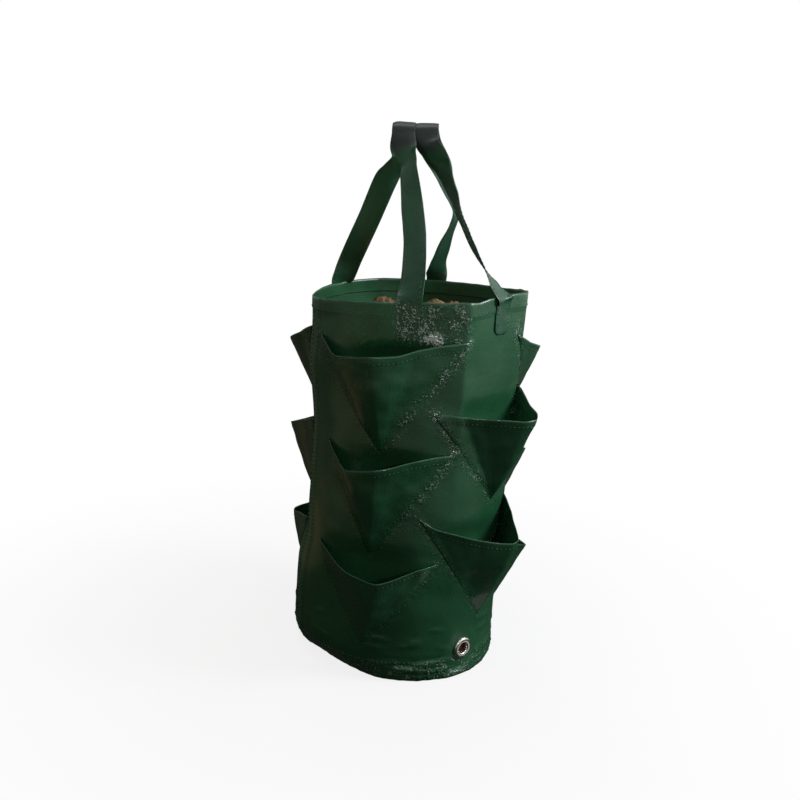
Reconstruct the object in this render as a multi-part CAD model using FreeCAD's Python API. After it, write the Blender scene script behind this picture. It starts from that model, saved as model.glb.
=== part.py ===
import FreeCAD, Part
import math
import os

# Grow bag with side pockets: a sewn tube of woven sheet on a round bottom.
# Millimetres. +Z is up, the origin is the middle of the bottom on the floor,
# and azimuth 0 is the front of the bag (-Y), counted towards +X.

# Bag body
bag_radius = 100.0
bag_height = 350.0
sheet = 1.2
rim_hem = 13.0
base_skirt = 14.0
lap_azimuth = -67.0
lap_half_angle = 5.5

# Pockets: five columns round the bag, long ones of three and short ones of two
long_columns = [("front", -15.0), ("right", 114.0), ("left", 240.0)]
short_columns = [("front_right", 53.0), ("back", 177.0)]
top_lip_below_rim = 34.0
row_pitch = 98.0
short_column_drop = 54.0
pocket_depth = 96.0
gap_between_seams = 4.5
beak_reach = 38.0
beak_droop = 14.0
beak_radius = 15.0
flap_sheet = 1.0
slit_half_angle = 15.0
slit_height = 9.0
slit_below_lip = 42.0

# Carrying handles: a strap doubled from the same sheet
strap_width = 21.0
strap_thick = 1.6
strap_tail = 27.0
swing_above_rim = 27.0
swing_gap = 0.5
handle_rise = 150.0
gap_between_handles = 1.0
gather_x = -15.5
gather_y = -6.0
grip_radius = 9.0
handles = [
    ("left", ("front", -3.0), ("left", 230.5), -1),
    ("right", ("right", 52.0), ("back", 170.0), 1),
]

# Drain eyelets
eyelet_azimuths = [41.0, 221.0]
eyelet_height = 27.0
eyelet_bore = 5.0
eyelet_barrel = 0.6
eyelet_flange = 10.0
eyelet_flange_thick = 1.2
washer_radius = 9.5
washer_thick = 0.8

# Soil
soil_below_rim = 16.0
soil_crown = 5.0

inside_radius = bag_radius - sheet
swing_height = bag_height + swing_above_rim
up = FreeCAD.Vector(0, 0, 1)
round_steps = 6
wall_core = Part.makeCylinder(bag_radius, bag_height)


def outward(azimuth):
    angle = math.radians(azimuth)
    return FreeCAD.Vector(math.sin(angle), -math.cos(angle), 0)


def along(azimuth):
    angle = math.radians(azimuth)
    return FreeCAD.Vector(math.cos(angle), math.sin(angle), 0)


def at_height(vector, z):
    return FreeCAD.Vector(vector.x, vector.y, z)


def unit(vector):
    return vector * (1.0 / vector.Length)


def tube(outer, inner, low, high):
    start = FreeCAD.Vector(0, 0, low)
    return Part.makeCylinder(outer, high - low, start).cut(Part.makeCylinder(inner, high - low, start))


def sector(radius, azimuth, half_angle, low, high):
    left = at_height(outward(azimuth - half_angle) * radius, low)
    right = at_height(outward(azimuth + half_angle) * radius, low)
    arc = Part.Arc(left, at_height(outward(azimuth) * radius, low), right).toShape()
    middle = FreeCAD.Vector(0, 0, low)
    sides = [Part.makeLine(right, middle), Part.makeLine(middle, left)]
    return Part.Face(Part.Wire([arc] + sides)).extrude(FreeCAD.Vector(0, 0, high - low))


# A disc with its axis square to the wall, between two distances from the bag's axis
def wall_disc(azimuth, radius, near, far):
    start = at_height(outward(azimuth) * near, eyelet_height)
    return Part.makeCylinder(radius, far - near, start, outward(azimuth))


def pocket_places():
    places = []
    top_lip = bag_height - top_lip_below_rim
    for columns, rows, first_lip in (
        (long_columns, 3, top_lip),
        (short_columns, 2, top_lip - short_column_drop),
    ):
        for column, azimuth in columns:
            for row in range(rows):
                places.append((f"pocket_{column}_{row + 1}", azimuth, first_lip - row * row_pitch))
    return places


# Pockets are as wide as their staggered neighbours leave room for. A seam narrows
# evenly from the lip to the foot of its V, so the tightest place is at the lip
# of the pocket that starts the shorter way below its neighbour.
def widest_half_angle():
    azimuths = sorted(azimuth % 360.0 for column, azimuth in long_columns + short_columns)
    spacings = [b - a for a, b in zip(azimuths, azimuths[1:] + [azimuths[0] + 360.0])]
    stagger = min(short_column_drop, row_pitch - short_column_drop)
    free = math.radians(min(spacings)) - gap_between_seams / bag_radius
    return free / (2.0 - stagger / pocket_depth)


# A solid skinned with flat folds between outlines that have the same number of points
def folded_skin(outlines):
    faces = []
    count = len(outlines[0])
    for first, second in zip(outlines, outlines[1:]):
        for i in range(count):
            j = (i + 1) % count
            if i < count // 2:
                folds = [(first[i], first[j], second[i]), (first[j], second[j], second[i])]
            else:
                folds = [(first[i], first[j], second[j]), (first[i], second[j], second[i])]
            for a, b, c in folds:
                faces.append(Part.Face(Part.makePolygon([a, b, c, a])))
    for end in (outlines[0], outlines[-1]):
        faces.append(Part.Face(Part.makePolygon(end + end[:1])))
    solid = Part.makeSolid(Part.makeShell(faces))
    if solid.Volume < 0:
        solid.reverse()
    return solid


# One level of a pocket flap. Two straight flanks leave the wall at the seam and
# meet in a rounded beak. The level droops from the seam towards the beak.
def pocket_level(azimuth, lip, share, inset):
    size = 1.0 - share
    half = widest_half_angle() * size
    seam_across = bag_radius * math.sin(half)
    seam_out = bag_radius * math.cos(half)
    nose_out = bag_radius + beak_reach * size
    radius = max(beak_radius * size, 1.5)
    centre = nose_out - radius
    spread = math.hypot(seam_across, seam_out - centre)
    turn = math.atan2(seam_out - centre, seam_across) + math.acos(radius / spread)
    flank_across = seam_across - radius * math.cos(turn)
    flank_out = seam_out - centre - radius * math.sin(turn)
    longer = 1.0 + 12.0 / math.hypot(flank_across, flank_out)
    slope = beak_droop * size / (nose_out - seam_out)

    def placed(across, out):
        z = lip - pocket_depth * share - slope * (out - seam_out)
        return at_height(along(azimuth) * across + outward(azimuth) * out, z)

    beak = []
    for step in range(round_steps + 1):
        angle = math.pi - turn + (2 * turn - math.pi) * step / round_steps
        spread_out = centre + (radius - inset) * math.sin(angle)
        beak.append(placed((radius - inset) * math.cos(angle), spread_out))
    foot_across = (radius - inset) * math.cos(turn) + flank_across * longer
    foot_out = centre + (radius - inset) * math.sin(turn) + flank_out * longer
    return [placed(-foot_across, foot_out)] + beak + [placed(foot_across, foot_out)]


# The flap is hollow and open at the top, and its edges lie on the wall
def pocket_flap(azimuth, lip):
    outer_shares = [0.0, 0.32, 0.64, 0.96]
    inner_shares = [-0.05, 0.0, 0.32, 0.64, 0.88]
    outer = folded_skin([pocket_level(azimuth, lip, share, 0.0) for share in outer_shares])
    inner = folded_skin([pocket_level(azimuth, lip, share, flap_sheet) for share in inner_shares])
    flap = outer.cut(inner).cut(wall_core)
    return max(flap.Solids, key=lambda solid: solid.Volume)


def strap_section(middle, half_wide, half_thick):
    return [
        middle - half_wide - half_thick,
        middle + half_wide - half_thick,
        middle + half_wide + half_thick,
        middle - half_wide + half_thick,
    ]


def strap_foot(azimuth, z):
    return at_height(outward(azimuth) * (bag_radius + strap_thick / 2), z)


# Where a leg of the handle meets the round of the grip, and its lean in that plane
def grip_contact(foot, grip_middle, sense):
    lean = 0.0
    for step in range(6):
        contact = grip_middle + FreeCAD.Vector(0, sense * math.cos(lean), math.sin(lean)) * grip_radius
        lean = math.atan2(abs(contact.y - foot.y), contact.z - foot.z)
    return contact, lean


# The strap's cut across the swing line is slanted, so it is longer than the strap is wide
def swing_half_length(azimuth, contact, swing):
    climb = unit(contact - strap_foot(azimuth, swing_height))
    return strap_width / 2 / climb.cross(swing).Length


# Flat against the wall up to the rim, then a neck that turns to the swing line
def strap_end(azimuth, swing, half_length):
    flat = along(azimuth)
    if flat.dot(swing) < 0:
        flat = flat * -1.0
    turn = math.degrees(flat.getAngle(swing))
    if flat.cross(swing).z < 0:
        turn = -turn
    neck_start = bag_height + 2.0
    levels = [(bag_height - strap_tail, 0.0)]
    for step in range(6):
        share = step / 5.0
        levels.append((neck_start + (swing_height - neck_start) * share, share))
    sections = []
    for z, share in levels:
        wide = FreeCAD.Rotation(up, turn * share).multVec(flat)
        half_wide = wide * (strap_width / 2 * (1 - share) + half_length * share)
        half_thick = wide.cross(up) * (strap_thick / 2)
        sections.append(strap_section(strap_foot(azimuth, z), half_wide, half_thick))
    return folded_skin(sections)


# Half of a handle, from the swing line up to the grip
def handle_leg(azimuth, contact, swing, half_length):
    foot = strap_foot(azimuth, swing_height + swing_gap)
    climb = unit(contact - foot)
    start = swing
    if start.x < 0:
        start = start * -1.0
    sections = [(foot, start * half_length, start.cross(up) * (strap_thick / 2))]
    for step in range(1, 6):
        share = step / 6.0
        blend = start * (1 - share) + FreeCAD.Vector(share, 0, 0)
        wide = unit(blend - climb * blend.dot(climb))
        half_thick = wide.cross(climb) * (strap_thick / 2)
        sections.append((foot + (contact - foot) * share, wide * (strap_width / 2), half_thick))
    return sections


def handle_loop(first, second, contacts, leans, swing, lengths, grip_middle):
    rising = handle_leg(first, contacts[0], swing, lengths[0])
    falling = handle_leg(second, contacts[1], swing, lengths[1])
    sections = [strap_section(*section) for section in rising]
    start = math.pi - leans[0]
    sweep = start - leans[1]
    for step in range(7):
        angle = start - sweep * step / 6.0
        spoke = FreeCAD.Vector(0, math.cos(angle), math.sin(angle))
        half_wide = FreeCAD.Vector(strap_width / 2, 0, 0)
        middle = grip_middle + spoke * grip_radius
        sections.append(strap_section(middle, half_wide, spoke * (strap_thick / 2)))
    for middle, half_wide, half_thick in falling[::-1]:
        sections.append(strap_section(middle, half_wide, half_thick * -1.0))
    return folded_skin(sections)


parts = {}

# The wall is one sheet lapped on itself, hemmed inside the rim, slit behind each pocket
wall = tube(bag_radius, inside_radius, 0.0, bag_height)
hem = tube(inside_radius, inside_radius - sheet, bag_height - rim_hem, bag_height)
lap = sector(bag_radius + sheet, lap_azimuth, lap_half_angle, 0.0, bag_height).cut(wall_core)
wall = wall.fuse(hem).fuse(lap).removeSplitter()
for name, azimuth, lip in pocket_places():
    slit_middle = lip - slit_below_lip
    slit_low = slit_middle - slit_height / 2
    wall = wall.cut(sector(bag_radius + 1.0, azimuth, slit_half_angle, slit_low, slit_low + slit_height))
    parts[name] = pocket_flap(azimuth, lip)
barrel_radius = eyelet_bore + eyelet_barrel
for azimuth in eyelet_azimuths:
    wall = wall.cut(wall_disc(azimuth, barrel_radius, inside_radius - 10.0, bag_radius + 5.0))
parts["bag_wall"] = wall

# The bottom is a disc with its edge turned up inside the wall
base = Part.makeCylinder(inside_radius, base_skirt)
hollow = Part.makeCylinder(inside_radius - sheet, base_skirt, FreeCAD.Vector(0, 0, sheet))
parts["base_panel"] = base.cut(hollow)

# Each eyelet is a flanged tube through the wall, closed on a washer inside
inside_core = Part.makeCylinder(inside_radius, bag_height)
washer_face = math.sqrt(inside_radius ** 2 - washer_radius ** 2) - washer_thick
soil_cuts = []
for number, azimuth in enumerate(eyelet_azimuths, 1):
    flange_face = bag_radius + eyelet_flange_thick
    flange = wall_disc(azimuth, eyelet_flange, bag_radius - 2.0, flange_face).cut(wall_core)
    barrel = wall_disc(azimuth, barrel_radius, washer_face - 0.5, flange_face)
    bore = wall_disc(azimuth, eyelet_bore, washer_face - 5.0, flange_face + 5.0)
    parts[f"eyelet_{number}"] = flange.fuse(barrel).cut(bore).removeSplitter()
    washer = wall_disc(azimuth, washer_radius, washer_face, bag_radius).common(inside_core)
    parts[f"eyelet_washer_{number}"] = washer.cut(wall_disc(azimuth, barrel_radius, 0.0, bag_radius))
    soil_cuts.append(wall_disc(azimuth, washer_radius + 0.5, washer_face - 4.0, bag_radius))

# The soil fills the bag and is heaped a little in the middle
soil_top = bag_height - soil_below_rim
soil = Part.makeCylinder(inside_radius, soil_top - sheet, FreeCAD.Vector(0, 0, sheet))
heap = Part.makeCone(inside_radius, inside_radius / 2, soil_crown, FreeCAD.Vector(0, 0, soil_top))
soil = soil.fuse(heap).cut(parts["base_panel"])
for cut in soil_cuts:
    soil = soil.cut(cut)
parts["soil_fill"] = soil.removeSplitter()

# The handles swing about the line through their own two sewn ends
for side, (first_name, first), (second_name, second), sign in handles:
    swing = unit(strap_foot(second, 0.0) - strap_foot(first, 0.0))
    top_x = gather_x + sign * (strap_width + gap_between_handles) / 2
    grip_middle = FreeCAD.Vector(top_x, gather_y, bag_height + handle_rise - grip_radius)
    contacts = []
    leans = []
    lengths = []
    for azimuth, sense in ((first, -1), (second, 1)):
        contact, lean = grip_contact(strap_foot(azimuth, swing_height), grip_middle, sense)
        contacts.append(contact)
        leans.append(lean)
        lengths.append(swing_half_length(azimuth, contact, swing))
    parts[f"strap_end_{first_name}"] = strap_end(first, swing, lengths[0])
    parts[f"strap_end_{second_name}"] = strap_end(second, swing, lengths[1])
    parts[f"handle_{side}"] = handle_loop(first, second, contacts, leans, swing, lengths, grip_middle)

os.makedirs("parts", exist_ok=True)
for name, shape in parts.items():
    shape.exportStep(f"parts/{name}.step")
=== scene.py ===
import math

import bmesh
import bpy
from mathutils import Matrix, Vector, noise


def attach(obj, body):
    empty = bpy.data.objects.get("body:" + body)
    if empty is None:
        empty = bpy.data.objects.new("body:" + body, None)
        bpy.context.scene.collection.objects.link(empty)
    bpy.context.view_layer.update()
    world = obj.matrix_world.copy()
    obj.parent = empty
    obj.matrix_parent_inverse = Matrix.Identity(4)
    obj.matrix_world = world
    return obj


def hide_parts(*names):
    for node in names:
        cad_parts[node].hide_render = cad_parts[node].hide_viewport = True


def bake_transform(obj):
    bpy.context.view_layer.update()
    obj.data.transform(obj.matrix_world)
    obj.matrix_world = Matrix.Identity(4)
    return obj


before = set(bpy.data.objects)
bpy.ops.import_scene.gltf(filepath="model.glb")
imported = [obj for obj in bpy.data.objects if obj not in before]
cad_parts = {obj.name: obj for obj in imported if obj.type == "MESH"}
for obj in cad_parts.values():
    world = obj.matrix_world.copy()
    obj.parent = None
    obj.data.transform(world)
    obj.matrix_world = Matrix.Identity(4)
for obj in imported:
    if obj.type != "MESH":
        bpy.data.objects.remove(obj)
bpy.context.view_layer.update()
scene = bpy.context.scene

# The camera stands in front of the bag, a little above the rim, and leans slightly to one side,
# as a hand-held camera does.
camera_data = bpy.data.cameras.new("photo_camera")
camera_data.lens = 39.64
camera_data.sensor_width = 36.0
camera = bpy.data.objects.new("photo_camera", camera_data)
scene.collection.objects.link(camera)
camera_place = Vector((0.0, -0.83320, 0.43165))
camera_right = Vector((0.99694785, 0.02932725, 0.07235255))
camera_up = Vector((-0.07703547, 0.21914379, 0.97264666))
camera_back = camera_right.cross(camera_up)
camera.matrix_world = Matrix.Translation(camera_place) @ Matrix(
    (camera_right, camera_up, camera_back)).transposed().to_4x4()
scene.camera = camera
scene.view_settings.view_transform = "Standard"


# The studio: white paper and seven soft lamps. The one on the right is the main light, as large as a small
# window, a tiny one near the camera makes the glints, and a wide one hangs overhead. A low one behind and
# two on the left fill the shadows, and a narrow beam from below lifts the straps.
def to_linear(hex_colour):
    parts = [int(hex_colour[i:i + 2], 16) / 255 for i in (1, 3, 5)]
    return tuple(c / 12.92 if c <= 0.04045 else ((c + 0.055) / 1.055) ** 2.4 for c in parts) + (1.0,)


def add_node(tree, kind, settings=None, links=None):
    node = tree.nodes.new(kind)
    for key, value in (settings or {}).items():
        if isinstance(key, str) and hasattr(node, key):
            setattr(node, key, value)
        else:
            node.inputs[key].default_value = value
    for key, source in (links or {}).items():
        tree.links.new(source, node.inputs[key])
    return node


def new_material(name):
    made = bpy.data.materials.new(name)
    made.use_nodes = True
    made.node_tree.nodes.clear()
    return made, made.node_tree


def new_object(name, mesh, *materials):
    made = bpy.data.objects.new(name, mesh)
    scene.collection.objects.link(made)
    for material in materials:
        mesh.materials.append(material)
    return made


def soft_lamp(name, place, aim, size, watts, colour, mirrored=True, beam=180):
    """A disc lamp, in metres. Its beam is in degrees, and the gloss mirrors it or not."""
    lamp = bpy.data.lights.new(name, "AREA")
    lamp.shape = "DISK"
    lamp.size = size
    lamp.spread = math.radians(beam)
    lamp.energy = watts
    lamp.color = to_linear(colour)[:3]
    made = bpy.data.objects.new(name, lamp)
    scene.collection.objects.link(made)
    made.location = place
    made.rotation_euler = (Vector(aim) - Vector(place)).to_track_quat("-Z", "Y").to_euler()
    made.visible_glossy = mirrored


soft_lamp("right_window", (0.90, -0.11, 0.82), (0, 0, 0.24), 0.45, 10.4, "#f4faff")
soft_lamp("camera_side_lamp", (0.52, -1.28, 0.66), (0, 0, 0.26), 0.08, 1.6, "#ffffff")
soft_lamp("overhead_lamp", (-0.18, -0.15, 1.60), (0, 0, 0.30), 0.90, 5.0, "#ffffff")
soft_lamp("back_fill", (-0.50, 1.30, 0.20), (0, 0, 0.22), 0.80, 15.0, "#ffffff", False)
soft_lamp("left_fill", (-1.20, 0.45, 0.12), (0, 0, 0.20), 0.80, 0.5, "#ffffff", False)
soft_lamp("left_wall_glow", (-1.25, -0.70, 0.30), (0, 0, 0.25), 1.30, 1.5, "#ffb45c", False)
soft_lamp("strap_lamp", (-0.45, -1.10, 0.12), (-0.03, 0, 0.44), 0.12, 0.02, "#fff4ea", False, 13)

# The world is white paper to the eye. In the gloss it is a dim room, bright on the window's side and
# fairly bright overhead, and it adds only a little light of its own.
room_dim, room_window, room_ceiling, room_light = 0.22, 0.9, 0.6, 0.06
world = bpy.data.worlds.new("studio")
scene.world = world
world.use_nodes = True
sky = world.node_tree
sky.nodes.clear()
ray = add_node(sky, "ShaderNodeLightPath")
seen = add_node(sky, "ShaderNodeMath", {"operation": "MAXIMUM"},
                {0: ray.outputs["Is Camera Ray"], 1: ray.outputs["Is Transmission Ray"]})
side = add_node(sky, "ShaderNodeSeparateXYZ", None,
                {0: add_node(sky, "ShaderNodeTexCoord").outputs["Generated"]})
mirrored = add_node(sky, "ShaderNodeMapRange",
                    {"interpolation_type": "SMOOTHSTEP", "From Min": 0.0, "From Max": 0.95,
                     "To Min": room_dim, "To Max": room_window}, {"Value": side.outputs["X"]})
above = add_node(sky, "ShaderNodeMapRange",
                 {"interpolation_type": "SMOOTHSTEP", "From Min": 0.25, "From Max": 0.95,
                  "To Min": 0.0, "To Max": room_ceiling}, {"Value": side.outputs["Z"]})
mirrored = add_node(sky, "ShaderNodeMath", {"operation": "MAXIMUM"},
                    {0: mirrored.outputs[0], 1: above.outputs[0]})
around = add_node(sky, "ShaderNodeMix", {"data_type": "FLOAT", 2: room_light},
                  {0: ray.outputs["Is Glossy Ray"], 3: mirrored.outputs[0]})
strength = add_node(sky, "ShaderNodeMix", {"data_type": "FLOAT", 3: 1.0},
                    {0: seen.outputs[0], 2: around.outputs[0]})
paper_white = add_node(sky, "ShaderNodeBackground", {"Color": (1, 1, 1, 1)},
                       {"Strength": strength.outputs[0]})
add_node(sky, "ShaderNodeOutputWorld", None, {"Surface": paper_white.outputs[0]})

# The floor is white paper to the eye, with the bag's shadow close round it. In the gloss it is as dark as
# the floor of a room: darkest by the bag and behind it, grey in front and warmer on the left.
floor_half = 3.0
shadowed, lit = 0.84, 1.0
floor_mesh = bpy.data.meshes.new("floor")
floor_mesh.from_pydata([(-floor_half, -floor_half, 0), (floor_half, -floor_half, 0),
                        (floor_half, floor_half, 0), (-floor_half, floor_half, 0)], [], [(0, 1, 2, 3)])
floor_paper, paper = new_material("floor_paper")
ray = add_node(paper, "ShaderNodeLightPath")
place = add_node(paper, "ShaderNodeNewGeometry").outputs["Position"]
away = add_node(paper, "ShaderNodeVectorMath", {"operation": "LENGTH"}, {0: place}).outputs["Value"]
sides = add_node(paper, "ShaderNodeSeparateXYZ", None, {0: place})
far = add_node(paper, "ShaderNodeMapRange",
               {"interpolation_type": "SMOOTHSTEP", "From Min": 0.10, "From Max": 0.60,
                "To Min": shadowed, "To Max": lit}, {"Value": away})
clear = add_node(paper, "ShaderNodeMapRange",
                 {"interpolation_type": "SMOOTHSTEP", "From Min": 0.28, "From Max": 0.78},
                 {"Value": away})
front = add_node(paper, "ShaderNodeMapRange",
                 {"interpolation_type": "SMOOTHSTEP", "From Min": 0.25, "From Max": -0.15, "To Min": 0.1},
                 {"Value": sides.outputs["Y"]})
clear = add_node(paper, "ShaderNodeMath", {"operation": "MULTIPLY"},
                 {0: clear.outputs[0], 1: front.outputs[0]})
left = add_node(paper, "ShaderNodeMapRange",
                {"interpolation_type": "SMOOTHSTEP", "From Min": 0.10, "From Max": -0.25},
                {"Value": sides.outputs["X"]})
far_left = add_node(paper, "ShaderNodeMapRange",
                    {"interpolation_type": "SMOOTHSTEP", "From Min": -0.75, "From Max": -1.3},
                    {"Value": sides.outputs["X"]})
bounce = add_node(paper, "ShaderNodeMix",
                  {"data_type": "RGBA", 6: to_linear("#94948f"), 7: to_linear("#928d70")},
                  {0: left.outputs[0]})
bounce = add_node(paper, "ShaderNodeMix", {"data_type": "RGBA", 7: to_linear("#a09a84")},
                  {0: far_left.outputs[0], 6: bounce.outputs[2]})
shade = add_node(paper, "ShaderNodeMix", {"data_type": "RGBA", 6: to_linear("#2c2c2b")},
                 {0: clear.outputs[0], 7: bounce.outputs[2]})
# Two cards that only the gloss sees: a brown one on the left, a bright one before the front eyelet
for card_middle, card_edge, card_core, card_colour in (
        ((-0.40, 0.13, 0), 0.20, 0.08, "#6c6048"), ((0.119, -0.080, 0), 0.022, 0.012, "#d2d2d0")):
    gap = add_node(paper, "ShaderNodeVectorMath", {"operation": "DISTANCE", 1: card_middle}, {0: place})
    card = add_node(paper, "ShaderNodeMapRange",
                    {"interpolation_type": "SMOOTHSTEP", "From Min": card_edge, "From Max": card_core},
                    {"Value": gap.outputs["Value"]})
    shade = add_node(paper, "ShaderNodeMix", {"data_type": "RGBA", 7: to_linear(card_colour)},
                     {0: card.outputs[0], 6: shade.outputs[2]})
glow = add_node(paper, "ShaderNodeMix", {"data_type": "RGBA", 6: (1, 1, 1, 1)},
                {0: ray.outputs["Is Glossy Ray"], 7: shade.outputs[2]})
seen = add_node(paper, "ShaderNodeMath", {"operation": "MAXIMUM"},
                {0: ray.outputs["Is Camera Ray"], 1: ray.outputs["Is Transmission Ray"]})
shown = add_node(paper, "ShaderNodeMath", {"operation": "MULTIPLY_ADD"},
                 {0: seen.outputs[0], 1: far.outputs[0], 2: ray.outputs["Is Glossy Ray"]})
grey = add_node(paper, "ShaderNodeMix",
                {"data_type": "RGBA", 6: to_linear("#464544"), 7: to_linear("#e4e3e0")},
                {0: seen.outputs[0]})
matt = add_node(paper, "ShaderNodeBsdfDiffuse", None, {"Color": grey.outputs[2]})
white = add_node(paper, "ShaderNodeEmission", {"Strength": 1.0}, {"Color": glow.outputs[2]})
mixed = add_node(paper, "ShaderNodeMixShader", None,
                 {0: shown.outputs[0], 1: matt.outputs[0], 2: white.outputs[0]})
add_node(paper, "ShaderNodeOutputMaterial", None, {"Surface": mixed.outputs[0]})
floor = new_object("floor", floor_mesh, floor_paper)

# The bag wall: one length of laminated woven polyethylene sheet, lapped and sewn up the left side,
# turned over in a hem at the rim. Packed and stored flat, it keeps a sharp crease on each side; the
# filled bag leans, so the rim is higher on the right, and sinks in a little behind each pocket.
mm = 0.001
bag_radius = 100.0
bag_height = 350.0
sheet_thick = 0.7
rim_hem = 13.0
lap_middle = -67.0
lap_half = 5.5
flat_fold_creases = ((26.0, 0.62), (206.0, 0.25))
facet_angle = 58.0
base_band = 22.0
eyelet_places = ((41.0, 27.0), (221.0, 27.0))
eyelet_clear = 15.0
slit_half = 15.0
slit_heights = {"1": 274.0, "2": 176.0, "3": 78.0}
short_slit_heights = {"1": 220.0, "2": 122.0}
slit_open = 8.0
pocket_deep = 96.0
seam_reach = 16.0

# Each pocket: its lip from one sewn end to the other as (azimuth, distance out, height), and its foot.
pocket_lips = {
    "pocket_front_1": (((-58, 100, 311.5), (-47, 106, 305), (-36, 115, 299), (-25, 125, 302),
                        (-17, 130, 304.5), (-7, 122, 306), (2, 113, 311), (13.5, 106, 315),
                        (28, 100, 318)), (-14.2, 218)),
    "pocket_front_2": (((-47, 100, 219), (-35, 108, 207), (-27, 118, 201), (-19, 126, 205),
                        (-12, 128, 208), (-6, 122, 210.5), (-1, 116, 213), (5, 110, 215),
                        (14, 104, 217), (24, 100, 218)), (-15.2, 124)),
    "pocket_front_3": (((-50, 100, 121), (-38, 106, 116), (-28, 114, 111), (-18, 122, 107.5),
                        (-8, 127, 106.5), (3, 116, 112.5), (10, 109, 116), (21, 100, 117)), (-16, 35.5)),
    "pocket_front_right_1": (((12, 100, 253), (20, 100.8, 254), (27, 102.5, 253), (36, 112, 252),
                              (43.5, 124, 252), (51, 135, 251), (56, 138.5, 252), (60.5, 133.5, 255),
                              (65.5, 122, 258.5), (72.5, 110, 265.5), (81, 100, 271)), (54.5, 169.6)),
    "pocket_front_right_2": (((8, 100, 160), (17, 101.2, 151), (27.5, 106.5, 146), (37.5, 114.5, 141),
                              (46.5, 124.5, 137.5), (51.5, 131, 137), (54.5, 132, 139.5),
                              (59, 119.5, 152.5), (66, 109.5, 159), (76, 100, 165)), (51.8, 57)),
    "pocket_right_1": (((70, 100, 320), (84, 106, 311), (98, 119, 304), (110, 132, 300),
                        (116, 135, 299), (124, 127, 302), (138, 110, 309), (152, 100, 317)), (112, 226)),
    "pocket_right_2": (((76, 100, 219), (88, 106, 209), (100, 117, 200), (110, 129, 193),
                        (115, 131, 191), (123, 123, 196), (137, 109, 208), (151, 100, 217)), (114, 126)),
    "pocket_right_3": (((77, 100, 119), (88, 108, 107), (99, 125, 97), (107, 139, 89),
                        (112, 140, 88), (122, 127, 97), (137, 109, 110), (151, 100, 120)), (110, 18)),
    "pocket_left_1": (((-158, 100, 314), (-146, 108, 303), (-134, 124, 292), (-124, 142.5, 284.5),
                       (-118, 146, 283.5), (-110, 135, 289.5), (-98, 114, 300.5), (-84, 100, 311)),
                      (-119, 208)),
    "pocket_left_2": (((-157, 100, 221), (-145, 109, 213), (-134, 127, 203.5), (-125, 142, 197),
                       (-119, 145.8, 196), (-110, 135, 202), (-98, 114, 212), (-83, 100, 221)),
                      (-116, 117)),
    "pocket_left_3": (((-158, 100, 121), (-146, 108, 114), (-135, 122, 107), (-125, 133, 102),
                       (-119, 134, 102), (-110, 124, 107), (-98, 110, 115), (-83, 100, 121)),
                      (-118, 22)),
    "pocket_back_1": (((140, 100, 262), (152, 107, 254), (164, 119, 248), (173, 132, 247),
                       (179, 135, 246), (187, 125, 249), (201, 109, 255), (214, 100, 261)), (178, 167)),
    "pocket_back_2": (((140, 100, 163), (153, 108, 153), (165, 122, 148), (174, 134, 147),
                       (179, 135, 148), (188, 123, 152), (201, 108, 158), (214, 100, 165)), (176, 69)),
}


def smooth(low, high, x):
    t = min(max((x - low) / (high - low), 0.0), 1.0)
    return t * t * (3 - 2 * t)


def bell(x):
    return math.exp(-x ** 2)


def turn(azimuth, middle):
    return (azimuth - middle + 180.0) % 360.0 - 180.0


def outward(azimuth):
    a = math.radians(azimuth)
    return Vector((math.sin(a), -math.cos(a), 0.0))


def along(azimuth):
    a = math.radians(azimuth)
    return Vector((math.cos(a), math.sin(a), 0.0))


def through(points, t, slack=1.0):
    """A point on a curve through the points, t from 0 to 1; less slack gives sharper corners."""
    x = min(max(t, 0.0), 1.0) * (len(points) - 1)
    i = min(int(x), len(points) - 2)
    x -= i
    p0, p1, p2, p3 = (Vector(points[min(max(i + k, 0), len(points) - 1)]) for k in (-1, 0, 1, 2))
    leave, arrive = (p2 - p0) * slack / 2, (p3 - p1) * slack / 2
    bend = x * x * (3 - 2 * x) * slack + x * (1 - slack)
    return p1 + (p2 - p1) * bend + leave * x * (1 - x) ** 2 - arrive * x * x * (1 - x)


rim_lifts = (2.0, 0.0, -4.0, -11.0, -9.0, -5.0, -1.5, 1.5, 7.0, 7.0, 3.5, 2.5, 2.0)


def rim_lift(azimuth):
    """How much higher or lower than level the rim is, from the back round by the left to the back."""
    return through([(lift, 0, 0) for lift in rim_lifts], (azimuth + 180) % 360 / 360).x


def seam_distance(azimuth, z, end, foot):
    """Distance from a spot on the wall to a pocket's seam, and how far along the seam that is."""
    per_degree = math.radians(bag_radius)
    x, y = turn(azimuth, end[0]) * per_degree, z - end[2]
    dx, dy = turn(foot[0], end[0]) * per_degree, foot[1] - end[2]
    length = math.hypot(dx, dy)
    t = min(max((x * dx + y * dy) / length ** 2, 0.0), 1.0)
    return math.hypot(x - t * dx, y - t * dy), t * length


def pulled(azimuth, z):
    """How hard the sewing has crinkled the film, which also sets its painted glint flecks: less low down,
    and less on the left of the front, which is in shade.
    """
    shaded_left = 1 - 0.55 * bell(turn(azimuth, -42) / 26)
    return shaded_left * (0.55 + 0.45 * smooth(110, 240, z))


def away_from_eyelets(azimuth, z):
    """0 at an eyelet, 1 away from both."""
    free = 1.0
    for place, height in eyelet_places:
        gap = math.hypot(math.radians(turn(azimuth, place)) * bag_radius, z - height)
        free = min(free, smooth(eyelet_clear - 4, eyelet_clear + 10, gap))
    return free


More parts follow.
